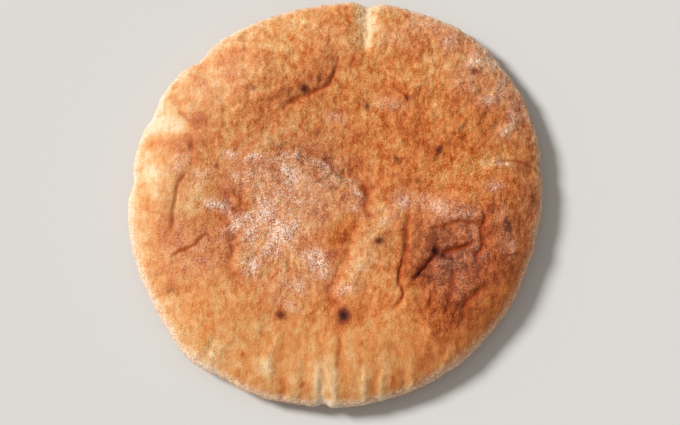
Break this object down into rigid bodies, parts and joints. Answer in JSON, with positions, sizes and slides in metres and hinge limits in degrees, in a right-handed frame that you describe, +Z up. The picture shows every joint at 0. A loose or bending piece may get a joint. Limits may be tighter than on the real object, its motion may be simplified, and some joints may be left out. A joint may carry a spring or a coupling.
{
  "type": "pita bread",
  "caption": "Round puffed flatbread with a rolled, dented rim, a wrinkled and sunken top crust with creases and a scorched fold, and a flat underside.",
  "frame": {"origin": "on the surface that the bread lies on, under the middle of its box", "axes": "+Z up through the bread's thickness; +Y towards the deep notch in the rim; +X towards the side with the scorched hollow"},
  "size_m": [0.1698, 0.17, 0.0187],
  "materials": {
    "baked_crust": "dry matt baked crust, golden to brown with pale floury patches"
  },
  "bodies": {
    "root": {"pita_bread": "baked_crust"}
  },
  "joints": []
}
